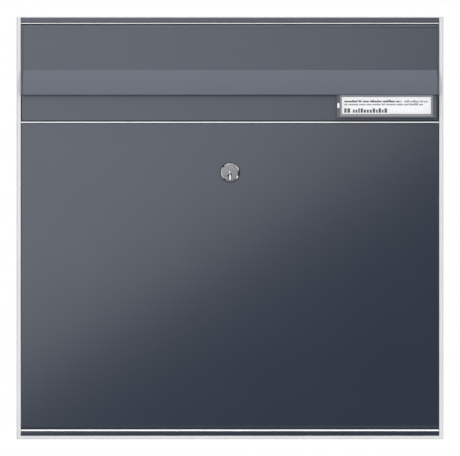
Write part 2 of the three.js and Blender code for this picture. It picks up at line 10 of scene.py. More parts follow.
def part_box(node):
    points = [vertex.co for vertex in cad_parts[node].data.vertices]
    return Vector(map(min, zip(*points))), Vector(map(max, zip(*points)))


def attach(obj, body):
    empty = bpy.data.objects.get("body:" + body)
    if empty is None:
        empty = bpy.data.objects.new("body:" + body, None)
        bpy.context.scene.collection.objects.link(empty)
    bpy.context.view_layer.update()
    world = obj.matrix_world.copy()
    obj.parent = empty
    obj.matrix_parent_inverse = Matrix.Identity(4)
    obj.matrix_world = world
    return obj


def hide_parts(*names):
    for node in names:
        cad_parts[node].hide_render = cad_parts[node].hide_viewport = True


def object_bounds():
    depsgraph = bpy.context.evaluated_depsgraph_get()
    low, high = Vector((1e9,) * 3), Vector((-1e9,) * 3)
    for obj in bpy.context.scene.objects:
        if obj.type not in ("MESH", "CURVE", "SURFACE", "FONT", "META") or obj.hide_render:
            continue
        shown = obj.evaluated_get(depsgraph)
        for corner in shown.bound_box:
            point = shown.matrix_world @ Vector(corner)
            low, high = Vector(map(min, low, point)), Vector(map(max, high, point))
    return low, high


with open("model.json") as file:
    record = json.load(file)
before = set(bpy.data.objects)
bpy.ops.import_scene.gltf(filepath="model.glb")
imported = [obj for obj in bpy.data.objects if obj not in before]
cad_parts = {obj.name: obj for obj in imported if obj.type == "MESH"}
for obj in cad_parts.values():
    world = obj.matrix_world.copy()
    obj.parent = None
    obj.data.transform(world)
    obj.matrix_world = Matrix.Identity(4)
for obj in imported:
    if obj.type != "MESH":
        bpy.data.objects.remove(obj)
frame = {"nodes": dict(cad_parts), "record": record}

CAD_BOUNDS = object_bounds()
NODES = frame["nodes"]
SLOT_OF = {entry["node"]: entry["material_slot"] for entry in frame["record"]["subparts"]}
MM = 0.001

# ---- places taken from the CAD model ----

FACE_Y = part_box("door_panel")[0].y  # front of the panels
LOCK_LOW, LOCK_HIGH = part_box("lock_barrel")
LOCK_CENTRE = (LOCK_LOW + LOCK_HIGH) / 2
LOCK_X, LOCK_Z = LOCK_CENTRE.x, LOCK_CENTRE.z

# ---- driving values, in metres unless a name or a comment says otherwise ----

# view and floor
FIELD_WIDTH = 0.4072  # width seen at the front of the panels
CAMERA_DISTANCE = 4.8  # from the front of the panels
SENSOR_MM = 36.0
FLOOR_DROP = 0.085  # the floor lies this far under the mailbox, out of the front view
FLOOR_RADIUS = 0.62

# colours, as linear red, green and blue
PANEL_SHADE = (0.0174, 0.0252, 0.0408)  # anthracite
CASING_SHADE = (0.66, 0.665, 0.675)
# painted light: the dividers have the casing's paint, drawn lighter to make up for the shade in their narrow
# gaps, the bottom one lighter still
DIVIDER_PAINTED_LIGHT = (0.80, 0.805, 0.815)
BOTTOM_DIVIDER_PAINTED_LIGHT = (0.93, 0.935, 0.945)
BEZEL_SHADE = (0.2, 0.205, 0.215)  # frame of the nameplate
DARK_PLASTIC_SHADE = (0.045, 0.053, 0.066)
CARRIER_SHADE = (0.085, 0.097, 0.118)  # backing of the nameplate
WHITE_PLASTIC_SHADE = (0.85, 0.85, 0.84)
CLEAR_PLASTIC_SHADE = (0.95, 0.96, 0.97)
PAPER_SHADE = (0.87, 0.87, 0.875)
INK_SHADE = (0.012, 0.012, 0.013)
PALE_INK_SHADE = (0.07, 0.07, 0.075)
RUBBER_SHADE = (0.018, 0.018, 0.019)
ZINC_SHADE = (0.56, 0.57, 0.58)
NICKEL_SHADE = (0.15, 0.15, 0.147)
RIM_SHADE = (0.21, 0.21, 0.215)
POLISHED_SHADE = (0.52, 0.52, 0.515)
# painted shade: near black, for the cut faces of the lock's notches, keyway, window, slit and screw hole,
# where shade falls
RECESS_PAINTED_SHADE = (0.004, 0.004, 0.0045)
FLOOR_SHADE = (0.93, 0.93, 0.93)
WORLD_SHADE = (0.52, 0.525, 0.54)
WHITE = (1.0, 1.0, 1.0)
COOL_WHITE = (0.94, 0.957, 1.0)
LIP_WHITE = (0.86, 0.895, 1.0)

# edges of the CAD pieces
HARD_ANGLE = 38  # degrees, above which an edge is a corner and not a step of a round
FOLD_ANGLE = 25  # the same on the flap, whose fold is shallow
COMMON_EDGE = 0.25 * MM
OTHER_EDGES = {
    "lock_gasket": 0.08 * MM,
    "nameplate_label": 0.05 * MM,
    "nameplate_holder": 0.35 * MM,
    "mail_guide": 0.3 * MM,
    "door_panel": 0.3 * MM,
    "flap_panel": 0.2 * MM,
}

# lock body and head
BODY_RADIUS = 7.6 * MM
BORE_RADIUS = 6.1 * MM
SEAT_STAND = 0.5 * MM  # from the front of the panels forwards to the rear of the head
HEAD_RADIUS = 8.15 * MM
HEAD_RECESS = 1.2 * MM  # depth inside the rim
RIM_INSIDE = 7.1 * MM
RIM_FOLD = 7.45 * MM  # where the rim's shallow slope turns into its steeper one
SHALLOW_SLOPE = 12  # degrees
STEEP_SLOPE = 27  # degrees
THREAD_TURNS = 9
THREAD_PITCH = 1.0 * MM
THREAD_DEPTH = 0.45 * MM
THREAD_CREST = 0.15 * THREAD_PITCH
THREAD_MARGIN = 0.5 * MM  # plain length at the rear end
FLAT_REACH = 6.95 * MM  # from the axis to each of the two flats
FLAT_START = 4.5 * MM  # from the rear of the head to the flats
MARK_ANGLE = -33  # degrees, where a short raised mark stands on the rim
MARK_LENGTH = 2.5 * MM
MARK_DEPTH = 0.7 * MM
NOTCHES = (  # angle in degrees, length and inner radius
    (136, 2.0 * MM, 7.25 * MM),
    (230, 2.0 * MM, 7.35 * MM),
    (5.5, 1.4 * MM, 7.3 * MM),
    (-13, 1.4 * MM, 7.3 * MM),
    (-4, 3.4 * MM, 7.8 * MM),
)
CUT_RADIUS = 9.0 * MM  # shapes that cut the body or the head reach this far out
PAST = 1.0 * MM  # and this far past the end of what they cut

# lock core
CORE_RADIUS = 5.8 * MM
CAP_RADIUS = RIM_INSIDE - 0.05 * MM
CAP_THICKNESS = 1.0 * MM
CAP_ROUND = 0.15 * MM
DOME_RADIUS = 3.0 * MM  # within it the cap is nearly flat
SQUARE_HALF = 3.0 * MM  # half the width of the square that carries the cam
SQUARE_LENGTH = 2.5 * MM
SCREW_HOLE_RADIUS = 1.8 * MM
SCREW_HOLE_DEPTH = 10.0 * MM
KEYWAY_DEPTH = 9.0 * MM
WINDOW_DEPTH = 1.0 * MM
WINDOW_RADIUS = 0.6 * MM
SLIT_DEPTH = 2.0 * MM
KEYWAY = (  # corners in millimetres from the lock's axis, to the right and up
    (0.8, -0.9), (1.6, -0.9), (1.6, -2.7), (0.9, -2.7), (0.9, -4.8), (1.4, -4.8), (1.4, -6.1), (0.9, -6.7),
    (-0.8, -6.7), (-1.5, -6.1), (-1.5, -4.9), (-0.95, -4.9), (-0.95, -3.6), (-2.35, -3.6), (-2.35, -2.2),
    (0.8, -2.2),
)
SHUTTER = (  # the same
    (-0.95, 1.0), (-0.95, -0.5), (-0.55, -2.2), (-0.75, -4.6), (-0.55, -6.5),
    (0.85, -6.5), (0.8, -4.6), (0.5, -2.2), (0.25, -0.5), (0.25, 1.0),
)

# bolt of the cam
SHANK_RADIUS = 1.5 * MM
SHANK_TIP = 1.3 * MM
WASHER_RADIUS = 4.9 * MM
WASHER_THICKNESS = 0.8 * MM
BOLT_HEIGHT = 2.8 * MM  # of the head and its washer
HEX_CORNER = 3.9 * MM
HEX_TOP_RADIUS = 3.3 * MM  # where the chamfer of the head ends

# print on the label
INK_HEIGHT = 0.03 * MM
INK_GAP = 0.005 * MM  # between the label and the ink
TALL_CHANCE = 0.25
TALL_FACTOR = 1.4

# rivets
BRACKET_RIVET = 1.4 * MM  # radius
STIFFENER_RIVET = 2.0 * MM  # radius
BRACKET_EDGE = 2.0 * MM  # from the outer side of a bracket to its rivets
BRACKET_BASE = 1.5 * MM  # thickness of a bracket's base
BRACKET_RIVETS = (14.2 * MM, 22.2 * MM)  # from a bracket's end at the hinge
STIFFENER_SHEET = 1.2 * MM  # thickness of the stiffener's sheet
STIFFENER_RIVETS = (-148 * MM, -96 * MM, -44 * MM, 44 * MM, 96 * MM, 148 * MM)

# card in front of the mailbox
CARD_DISTANCE = 0.6
CARD_WIDTH = 1.8
CARD_HEIGHT = 0.75
CARD_RADIANCE = 2.41
CARD_SLOPE = 31.0  # degrees, the rise of its lower edge to the right
CARD_EDGE_Z = -0.024  # height of that edge in front of the middle of the door
CARD_SHIFT = -0.54  # along the edge
CARD_FADE_PLACES = (0.74, 0.96)  # where the fade starts and ends, as shares of the width
CARD_FADE_STRENGTHS = (1.07, 0.86)  # before and after the fade


# ---- materials ----

def new_material(name, **values):
    """A material and its Principled shader, with constants set on the shader's own sockets."""
    material = bpy.data.materials.new(name)
    material.use_nodes = True
    shader = material.node_tree.nodes["Principled BSDF"]
    for socket, value in values.items():
        shader.inputs[socket.replace("_", " ")].default_value = value
    return material, material.node_tree, shader


def place_of(tree, stretch=(1.0, 1.0, 1.0), centre=(0.0, 0.0, 0.0)):
    """The point on the piece, measured from a centre and stretched."""
    coordinates = tree.nodes.new("ShaderNodeTexCoord")
    mapping = tree.nodes.new("ShaderNodeMapping")
    mapping.inputs["Location"].default_value = [-c * s for c, s in zip(centre, stretch)]
    mapping.inputs["Scale"].default_value = stretch
    tree.links.new(coordinates.outputs["Object"], mapping.inputs["Vector"])
    return mapping.outputs["Vector"]


def noise(tree, size, detail=2.0, stretch=(1.0, 1.0, 1.0)):
    """A noise whose blotches are about as large as size."""
    texture = tree.nodes.new("ShaderNodeTexNoise")
    texture.inputs["Scale"].default_value = 1.0 / size
    texture.inputs["Detail"].default_value = detail
    tree.links.new(place_of(tree, stretch), texture.inputs["Vector"])
    return texture.outputs["Fac"]


def spread(tree, factor, low, high, source=(0.3, 0.7)):
    """Maps a value in the source range to the range from low to high; the first suits a noise."""
    node = tree.nodes.new("ShaderNodeMapRange")
    node.inputs["From Min"].default_value = source[0]
    node.inputs["From Max"].default_value = source[1]
    node.inputs["To Min"].default_value = low
    node.inputs["To Max"].default_value = high
    tree.links.new(factor, node.inputs["Value"])
    return node.outputs["Result"]


def vary_colour(tree, shader, factor, shade, change):
    """Colour between shade and a slightly lighter or darker one."""
    mix = tree.nodes.new("ShaderNodeMix")
    mix.data_type = "RGBA"
    mix.inputs["A"].default_value = (*shade, 1.0)
    mix.inputs["B"].default_value = (*[min(1.0, c * change) for c in shade], 1.0)
    tree.links.new(spread(tree, factor, 0.0, 1.0), mix.inputs["Factor"])
    tree.links.new(mix.outputs["Result"], shader.inputs["Base Color"])


def vary_roughness(tree, shader, factor, low, high):
    tree.links.new(spread(tree, factor, low, high), shader.inputs["Roughness"])


def relief(tree, shader, heights, distance):
    """Bump from one or more heights added together."""
    total = heights[0]
    for height in heights[1:]:
        add = tree.nodes.new("ShaderNodeMath")
        add.operation = "ADD"
        tree.links.new(total, add.inputs[0])
        tree.links.new(height, add.inputs[1])
        total = add.outputs["Value"]
    bump = tree.nodes.new("ShaderNodeBump")
    bump.inputs["Distance"].default_value = distance
    bump.inputs["Strength"].default_value = 1.0
    tree.links.new(total, bump.inputs["Height"])
    tree.links.new(bump.outputs["Normal"], shader.inputs["Normal"])


def powder_coat(name, shade, roughness, peel, coat=0.0):
    """Fine powder coat: soft orange peel and a slightly uneven gloss, with a clear coat if asked for."""
    level = 0.1 if coat > 0 else 0.25
    material, tree, shader = new_material(
        name, Coat_Weight=coat, Coat_Roughness=0.24, Specular_IOR_Level=level)
    vary_colour(tree, shader, noise(tree, 50 * MM, 3.0), shade, 1.05)
    vary_roughness(tree, shader, noise(tree, 20 * MM, 4.0), roughness - 0.02, roughness + 0.03)
    relief(tree, shader, [noise(tree, 1.6 * MM, 1.0), noise(tree, 0.5 * MM, 1.0)], peel)
    return material


def moulded_plastic(name, shade, roughness, level=0.45):
    """Plastic with a fine grain."""
    material, tree, shader = new_material(name, Specular_IOR_Level=level)
    vary_colour(tree, shader, noise(tree, 12 * MM, 3.0), shade, 1.12)
    vary_roughness(tree, shader, noise(tree, 6 * MM, 3.0), roughness - 0.05, roughness + 0.06)
    relief(tree, shader, [noise(tree, 0.4 * MM, 2.0)], 0.02 * MM)
    return material


def clear_plastic(name):
    material, tree, shader = new_material(name, Alpha=0.05, IOR=1.49)
    vary_colour(tree, shader, noise(tree, 10 * MM, 2.0), CLEAR_PLASTIC_SHADE, 0.97)
    vary_roughness(tree, shader, noise(tree, 6 * MM, 3.0), 0.04, 0.09)
    return material


def zinc_plate(name):
    """Zinc-plated steel: dull, with faint spangle and drawn lines."""
    material, tree, shader = new_material(name, Metallic=1.0)
    spangle = tree.nodes.new("ShaderNodeTexVoronoi")
    spangle.inputs["Scale"].default_value = 1.0 / (3.5 * MM)
    tree.links.new(place_of(tree), spangle.inputs["Vector"])
    vary_colour(tree, shader, spangle.outputs["Distance"], ZINC_SHADE, 1.2)
    vary_roughness(tree, shader, noise(tree, 2 * MM, 3.0), 0.28, 0.46)
    relief(tree, shader, [noise(tree, 0.3 * MM, 1.0, (1.0, 0.15, 1.0))], 0.01 * MM)
    return material


def turned_nickel(name, shade):
    """Satin nickel with fine rings about the lock's axis."""
    material, tree, shader = new_material(name, Metallic=1.0)
    flat = tree.nodes.new("ShaderNodeVectorMath")
    flat.operation = "MULTIPLY"
    flat.inputs[1].default_value = (1.0, 0.0, 1.0)
    tree.links.new(place_of(tree, centre=LOCK_CENTRE), flat.inputs[0])
    radius = tree.nodes.new("ShaderNodeVectorMath")
    radius.operation = "LENGTH"
    tree.links.new(flat.outputs["Vector"], radius.inputs[0])
    rings = tree.nodes.new("ShaderNodeTexNoise")
    rings.noise_dimensions = "1D"
    rings.inputs["Scale"].default_value = 1.0 / (0.35 * MM)
    rings.inputs["Detail"].default_value = 3.0
    tree.links.new(radius.outputs["Value"], rings.inputs["W"])
    vary_colour(tree, shader, noise(tree, 1.2 * MM, 4.0), shade, 1.4)
    vary_roughness(tree, shader, noise(tree, 1.8 * MM, 3.0), 0.26, 0.42)
    relief(tree, shader, [rings.outputs["Fac"], noise(tree, 0.6 * MM, 2.0)], 0.012 * MM)
    return material


def black_rubber(name):
    material, tree, shader = new_material(name, Specular_IOR_Level=0.3)
    vary_colour(tree, shader, noise(tree, 4 * MM, 3.0), RUBBER_SHADE, 1.5)
    vary_roughness(tree, shader, noise(tree, 2 * MM, 3.0), 0.7, 0.9)
    relief(tree, shader, [noise(tree, 0.4 * MM, 2.0)], 0.03 * MM)
    return material


def label_paper(name):
    """White card with a faint fibre."""
    material, tree, shader = new_material(name, Specular_IOR_Level=0.45)
    vary_colour(tree, shader, noise(tree, 0.9 * MM, 4.0), PAPER_SHADE, 0.98)
    vary_roughness(tree, shader, noise(tree, 3 * MM, 2.0), 0.75, 0.9)
    relief(tree, shader, [noise(tree, 0.3 * MM, 3.0)], 0.01 * MM)
    return material


def printed_ink(name, shade):
    material, tree, shader = new_material(name, Specular_IOR_Level=0.3)
    vary_colour(tree, shader, noise(tree, 0.6 * MM, 3.0), shade, 1.6)
    vary_roughness(tree, shader, noise(tree, 1 * MM, 2.0), 0.6, 0.8)
    return material


LOOKS = {  # by the names of the record's material slots
    "casing_paint": powder_coat("casing_coat", CASING_SHADE, 0.5, 0.012 * MM),
    "panel_paint": powder_coat("door_coat", PANEL_SHADE, 0.36, 0.010 * MM, coat=1.0),
    "coated_aluminium": powder_coat("profile_coat", PANEL_SHADE, 0.36, 0.008 * MM, coat=1.0),
    "grey_plastic": moulded_plastic("bezel_plastic", BEZEL_SHADE, 0.4),
    "dark_plastic": moulded_plastic("anthracite_plastic", DARK_PLASTIC_SHADE, 0.5),
    "white_plastic": moulded_plastic("white_plastic_look", WHITE_PLASTIC_SHADE, 0.4),
    "clear_plastic": clear_plastic("cover_plastic"),
    "label_paper": label_paper("card"),
    "black_rubber": black_rubber("rubber_look"),
    "zinc_steel": zinc_plate("zinc_plate"),
    "satin_nickel": turned_nickel("turned_nickel", NICKEL_SHADE),
}
# painted light: lighter copies of the casing paint for the dividers, making up for the shade in their narrow
# gaps
DIVIDER_PAINTED_LIGHT_LOOK = powder_coat("divider_painted_light", DIVIDER_PAINTED_LIGHT, 0.5, 0.012 * MM)
OTHER_LOOKS = {  # nodes that look different from the rest of their slot
    "divider_top": DIVIDER_PAINTED_LIGHT_LOOK,
    "divider_middle": DIVIDER_PAINTED_LIGHT_LOOK,
    "divider_bottom": powder_coat("bottom_divider_painted_light", BOTTOM_DIVIDER_PAINTED_LIGHT, 0.5, 0.012 * MM),
    "nameplate_carrier": moulded_plastic("carrier_plastic", CARRIER_SHADE, 0.5),
}
RIM_NICKEL = turned_nickel("rim_nickel", RIM_SHADE)
POLISHED_NICKEL = turned_nickel("polished_nickel", POLISHED_SHADE)
# painted shade: a near-black, almost unshiny plastic look that stands in for the shade inside the lock's
# recesses
RECESS_PAINTED_SHADE_LOOK = moulded_plastic("painted_recess_shade", RECESS_PAINTED_SHADE, 0.6, level=0.04)
INK = printed_ink("ink", INK_SHADE)
PALE_INK = printed_ink("pale_ink", PALE_INK_SHADE)


# ---- helpers ----

def shade_smooth(mesh):
    for face in mesh.polygons:
        face.use_smooth = True


def round_edges(piece, width, segments=2, hard_angle=30):
    """Rounds the edges that turn by more than an angle in degrees, and keeps flat faces flat."""
    bevel = piece.modifiers.new("edge", "BEVEL")
    bevel.width = width
    bevel.segments = segments
    bevel.limit_method = "ANGLE"
    bevel.angle_limit = math.radians(hard_angle)
    bevel.harden_normals = True
    normals = piece.modifiers.new("normals", "WEIGHTED_NORMAL")
    normals.keep_sharp = True


def make_piece(name, mesh, slot_name, body, look=None):
    """A new piece that rides on a body. A mesh that has materials keeps them."""
    piece = bpy.data.objects.new(name, mesh)
    bpy.context.scene.collection.objects.link(piece)
    if not mesh.materials:
        mesh.materials.append(look or LOOKS[slot_name])
    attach(piece, body)
    return piece


def to_mesh(name, shape):
    """Turns a bmesh into a mesh and frees it."""
    mesh = bpy.data.meshes.new(name)
    shape.to_mesh(mesh)
    shape.free()
    return mesh


def arc(a, b, radius, start, end, steps):
    """Points on an arc about (a, b), from one angle in degrees to another."""
    points = []
    for i in range(steps + 1):
        angle = math.radians(start + (end - start) * i / steps)
        points.append((a + radius * math.cos(angle), b + radius * math.sin(angle)))
    return points


def turned(name, profile, x, z, steps=96):
    """A closed profile of (radius, y) turned about an axis along Y through (x, z)."""
    shape = bmesh.new()
    rings = []
    for radius, y in profile:
        if radius < 1e-7:
            rings.append([shape.verts.new((x, y, z))])
            continue
        ring = []
        for i in range(steps):
            angle = 2 * math.pi * i / steps
            ring.append(shape.verts.new((x + radius * math.cos(angle), y, z + radius * math.sin(angle))))
        rings.append(ring)
    for first, second in zip(rings, rings[1:] + rings[:1]):
        if len(first) == 1 and len(second) == 1:
            continue
        for i in range(steps):
            j = (i + 1) % steps
            corners = [first[i % len(first)], first[j % len(first)]]
            corners += [second[j % len(second)], second[i % len(second)]]
            shape.faces.new(list(dict.fromkeys(corners)))
    bmesh.ops.recalc_face_normals(shape, faces=shape.faces)
    mesh = to_mesh(name, shape)
    shade_smooth(mesh)
    return mesh


def block(low, high):
    """A box between two corners, as a mesh."""
    shape = bmesh.new()
    bmesh.ops.create_cube(shape, size=1.0)
    size = [h - l for l, h in zip(low, high)]
    middle = [(h + l) / 2 for l, h in zip(low, high)]
    bmesh.ops.scale(shape, vec=size, verts=shape.verts)
    bmesh.ops.translate(shape, vec=middle, verts=shape.verts)
    return to_mesh("block", shape)


def add_prism(shape, outline, y_front, y_rear):
    """Adds a closed outline in (x, z), drawn out along Y, to a bmesh."""
    front = [shape.verts.new((x, y_front, z)) for x, z in outline]
    rear = [shape.verts.new((x, y_rear, z)) for x, z in outline]
    shape.faces.new(front)
    shape.faces.new(rear[::-1])
    for i in range(len(outline)):
        j = (i + 1) % len(outline)
        shape.faces.new((front[i], rear[i], rear[j], front[j]))


def prism(outline, y_front, y_rear):
    """A closed outline in (x, z), drawn out along Y, as a mesh."""
    shape = bmesh.new()
    add_prism(shape, outline, y_front, y_rear)
    bmesh.ops.recalc_face_normals(shape, faces=shape.faces)
    return to_mesh("prism", shape)


def combine(name, base, steps, look, cut_look=None):
    """One mesh from a base and a list of (operation, mesh), by exact booleans.

    A mesh without a material gets the look, or the look for cuts where it cuts and there is one.
    """
    base.materials.append(look)
    holder = bpy.data.objects.new(name, base)
    bpy.context.scene.collection.objects.link(holder)
    tools = []
    for operation, mesh in steps:
        if not mesh.materials:
            mesh.materials.append(cut_look if cut_look and operation == "DIFFERENCE" else look)
        tool = bpy.data.objects.new("tool", mesh)
        bpy.context.scene.collection.objects.link(tool)
        tools.append(tool)
        boolean = holder.modifiers.new("boolean", "BOOLEAN")
        boolean.operation = operation
        boolean.solver = "EXACT"
        boolean.material_mode = "TRANSFER"
        boolean.object = tool
    bpy.context.view_layer.update()
    mesh = bpy.data.meshes.new_from_object(holder.evaluated_get(bpy.context.evaluated_depsgraph_get()))
    for extra in [holder, *tools]:
        bpy.data.objects.remove(extra)
    shade_smooth(mesh)
    mesh.name = name
    return mesh


# ---- the CAD pieces: fine edges and finishes ----

def soften(piece, width, hard_angle):
    """Shades a CAD piece smoothly, joins its flat faces and rounds its hard edges."""
    mesh = piece.data
    if "custom_normal" in mesh.attributes:
        mesh.attributes.remove(mesh.attributes["custom_normal"])
    shade_smooth(mesh)
    weld = piece.modifiers.new("weld", "WELD")
    weld.merge_threshold = 1e-6
    dissolve = piece.modifiers.new("join_flats", "DECIMATE")
    dissolve.decimate_type = "DISSOLVE"
    dissolve.angle_limit = math.radians(0.5)
    round_edges(piece, width, hard_angle=hard_angle)


def finish_cad_nodes():
    for name, node in NODES.items():
        if not node.material_slots:
            node.data.materials.append(None)
        for slot in node.material_slots:
            slot.link = "OBJECT"
            slot.material = OTHER_LOOKS.get(name, LOOKS[SLOT_OF[name]])
        hard_angle = FOLD_ANGLE if name == "flap_panel" else HARD_ANGLE
        soften(node, OTHER_EDGES.get(name, COMMON_EDGE), hard_angle)


# ---- lock ----

def from_axis(outline):
    """Corners in millimetres from the lock's axis, as places in the scene."""
    return [(LOCK_X + x * MM, LOCK_Z + z * MM) for x, z in outline]


def turn_on_rim(mesh, angle):
    """Takes a mesh made to the right of the origin to an angle in degrees on the lock's rim."""
    mesh.transform(Matrix.Rotation(-math.radians(angle), 4, "Y"))
    mesh.transform(Matrix.Translation((LOCK_X, 0.0, LOCK_Z)))
    return mesh


def thread_profile(rear):
    """The thread's teeth, from the rear end of the lock's body forwards."""
    start = rear - THREAD_MARGIN
    root = BODY_RADIUS - THREAD_DEPTH
    profile = []
    for i in range(THREAD_TURNS):
        y = start - i * THREAD_PITCH
        profile += [(BODY_RADIUS, y), (BODY_RADIUS, y - THREAD_CREST), (root, y - 0.5 * THREAD_PITCH)]
    profile.append((BODY_RADIUS, start - THREAD_TURNS * THREAD_PITCH))
    return profile


def head_profile(front, seat, rear):
    """Half section of the threaded body and the head, whose rim slopes back in two steps."""
    fold_y = front + (RIM_FOLD - RIM_INSIDE) * math.tan(math.radians(SHALLOW_SLOPE))
    edge_y = fold_y + (HEAD_RADIUS - RIM_FOLD) * math.tan(math.radians(STEEP_SLOPE))
    floor_y = front + HEAD_RECESS
    profile = [(BORE_RADIUS, rear), (BODY_RADIUS - 0.6 * MM, rear), *thread_profile(rear)]
    profile += [(BODY_RADIUS, seat), (HEAD_RADIUS, seat), (HEAD_RADIUS, edge_y), (RIM_FOLD, fold_y)]
    profile += [(RIM_INSIDE, front), (RIM_INSIDE, floor_y), (BORE_RADIUS, floor_y)]
    return profile


def raised_mark(front):
    half = MARK_LENGTH / 2
    mark = block((RIM_INSIDE + 0.05 * MM, front, -half), (HEAD_RADIUS - 0.1 * MM, front + MARK_DEPTH, half))
    mark.materials.append(POLISHED_NICKEL)
    return turn_on_rim(mark, MARK_ANGLE)


def rim_notches(front, seat):
    """Shapes that cut the notches, down to a thin floor in front of the seat."""
    notches = []
    for angle, length, inner in NOTCHES:
        notch = block((inner, front - PAST, -length / 2), (CUT_RADIUS, seat - 0.1 * MM, length / 2))
        notches.append(turn_on_rim(notch, angle))
    return notches


def body_flats(seat, rear):
    """Shapes that cut the two flats of the body."""
    flats = []
    for side in (-1, 1):
        near, far = sorted((side * FLAT_REACH, side * CUT_RADIUS))
        low = (near, seat + FLAT_START, LOCK_Z - CUT_RADIUS)
        flats.append(block(low, (far, rear + PAST, LOCK_Z + CUT_RADIUS)))
    return flats


def make_lock_head():
    """Threaded body with two flats, and a head with spanner notches and a short mark on its rim."""
    low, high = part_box("lock_barrel")
    front, seat, rear = low.y, FACE_Y - SEAT_STAND, high.y
    solid = turned("lock_head", head_profile(front, seat, rear), LOCK_X, LOCK_Z)
    steps = [("UNION", raised_mark(front))]
    steps += [("DIFFERENCE", notch) for notch in rim_notches(front, seat)]
    # the faces cut by the notches get the painted recess shade
    notched = combine("lock_head", solid, steps, RIM_NICKEL, RECESS_PAINTED_SHADE_LOOK)
    flats = [("DIFFERENCE", flat) for flat in body_flats(seat, rear)]
    piece = make_piece("lock_head", combine("lock_head", notched, flats, RIM_NICKEL), "satin_nickel", "door")
    round_edges(piece, 0.05 * MM)
    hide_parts("lock_barrel")


def core_profile(front, shoulder):
    """Half section of the turning core and its slightly domed cap."""
    step = front + CAP_THICKNESS
    profile = [(0.0, shoulder), (CORE_RADIUS, shoulder), (CORE_RADIUS, step), (CAP_RADIUS, step)]
    profile += arc(CAP_RADIUS - CAP_ROUND, front + CAP_ROUND, CAP_ROUND, 0, -90, 5)
    profile += [(DOME_RADIUS, front - 0.05 * MM), (0.0, front - 0.06 * MM)]
    return profile


def core_square(shoulder, rear):
    low = (LOCK_X - SQUARE_HALF, shoulder - 0.5 * MM, LOCK_Z - SQUARE_HALF)
    return block(low, (LOCK_X + SQUARE_HALF, rear, LOCK_Z + SQUARE_HALF))


def key_cuts(front):
    """Shapes that cut the keyway with its wards, a round window above it and a short slit at its left."""
    window = arc(LOCK_X - 0.35 * MM, LOCK_Z + 0.35 * MM, WINDOW_RADIUS, 0, 345, 23)
    slit_low = (LOCK_X - 1.95 * MM, front - PAST, LOCK_Z - 0.5 * MM)
    slit_high = (LOCK_X - 1.45 * MM, front + SLIT_DEPTH, LOCK_Z + 0.5 * MM)
    return [
        prism(from_axis(KEYWAY), front - PAST, front + KEYWAY_DEPTH),
        prism(window, front - PAST, front + WINDOW_DEPTH),
        block(slit_low, slit_high),
    ]


def screw_hole(rear):
    """Shape that cuts the hole for the cam's bolt."""
    bottom = rear - SCREW_HOLE_DEPTH
    top = rear + PAST
    profile = [(0.0, bottom), (SCREW_HOLE_RADIUS, bottom), (SCREW_HOLE_RADIUS, top), (0.0, top)]
    return turned("screw_hole", profile, LOCK_X, LOCK_Z, 32)


def make_lock_core():
    """The turning core with its keyway, and a square behind for the cam."""
    low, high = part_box("lock_plug")
    front, rear = low.y, high.y
    shoulder = rear - SQUARE_LENGTH
    solid = turned("lock_core", core_profile(front, shoulder), LOCK_X, LOCK_Z)
    steps = [("UNION", core_square(shoulder, rear))]
    steps += [("DIFFERENCE", cut) for cut in [*key_cuts(front), screw_hole(rear)]]
    # the faces cut by the keyway, window, slit and screw hole get the painted recess shade
    mesh = combine("lock_core", solid, steps, LOOKS["satin_nickel"], RECESS_PAINTED_SHADE_LOOK)
    piece = make_piece("lock_core", mesh, "satin_nickel", "lock_core")
    round_edges(piece, 0.04 * MM)
    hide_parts("lock_plug")


def make_lock_shutter():
    """The dust shutter, which closes most of the keyway just behind its mouth."""
    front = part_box("lock_plug")[0].y
    shutter = prism(from_axis(SHUTTER), front + 0.15 * MM, front + 0.9 * MM)
    piece = make_piece("lock_shutter", shutter, "satin_nickel", "lock_core", POLISHED_NICKEL)
    round_edges(piece, 0.12 * MM, 3)


def make_cam_bolt():
    """Hexagon bolt with a washer that holds the cam on the core's square."""
    low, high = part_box("cam_screw")
    tip, top = low.y, high.y
    under = top - BOLT_HEIGHT
    washer_top = under + WASHER_THICKNESS
    profile = [(0.0, tip), (SHANK_TIP, tip), (SHANK_RADIUS, tip + 0.4 * MM), (SHANK_RADIUS, under)]
    profile += [(WASHER_RADIUS, under), (WASHER_RADIUS, washer_top), (0.0, washer_top)]
    solid = turned("cam_bolt", profile, LOCK_X, LOCK_Z, 48)
    head = prism(arc(LOCK_X, LOCK_Z, HEX_CORNER, 0, 300, 5), washer_top - 0.1 * MM, top)
    wide = 6.0 * MM
    chamfer = [(0.0, under), (wide, under), (wide, top - 0.9 * MM), (HEX_TOP_RADIUS, top), (0.0, top)]
    dome = turned("dome", chamfer, LOCK_X, LOCK_Z, 48)
    zinc = LOOKS["zinc_steel"]
    chamfered = combine("cam_bolt_head", head, [("INTERSECT", dome)], zinc)
    mesh = combine("cam_bolt", solid, [("UNION", chamfered)], zinc)
    piece = make_piece("cam_bolt", mesh, "zinc_steel", "lock_core")
    round_edges(piece, 0.1 * MM)
    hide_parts("cam_screw")


# ---- nameplate ----

def ink_line(shape, chance, face_y, span, base, height, block_width, gap, words):
    """Blocks in words of the given lengths, taken in turn, until the line from left to right is full."""
    x, right = span
    word = 0
    while x < right:
        for _ in range(words[word % len(words)]):
            width = block_width * chance.uniform(0.7, 1.25)
            if x + width > right:
                return
            tall = height * (TALL_FACTOR if chance.random() < TALL_CHANCE else 1.0)
            corners = [(x, base), (x + width, base), (x + width, base + tall), (x, base + tall)]
            add_prism(shape, corners, face_y - INK_HEIGHT, face_y - INK_GAP)
            x += width + gap
        x += height * 0.6
        word += 1


def make_ink(shape, name, look):
    bmesh.ops.recalc_face_normals(shape, faces=shape.faces)
    make_piece(name, to_mesh(name, shape), "label_paper", "housing", look)


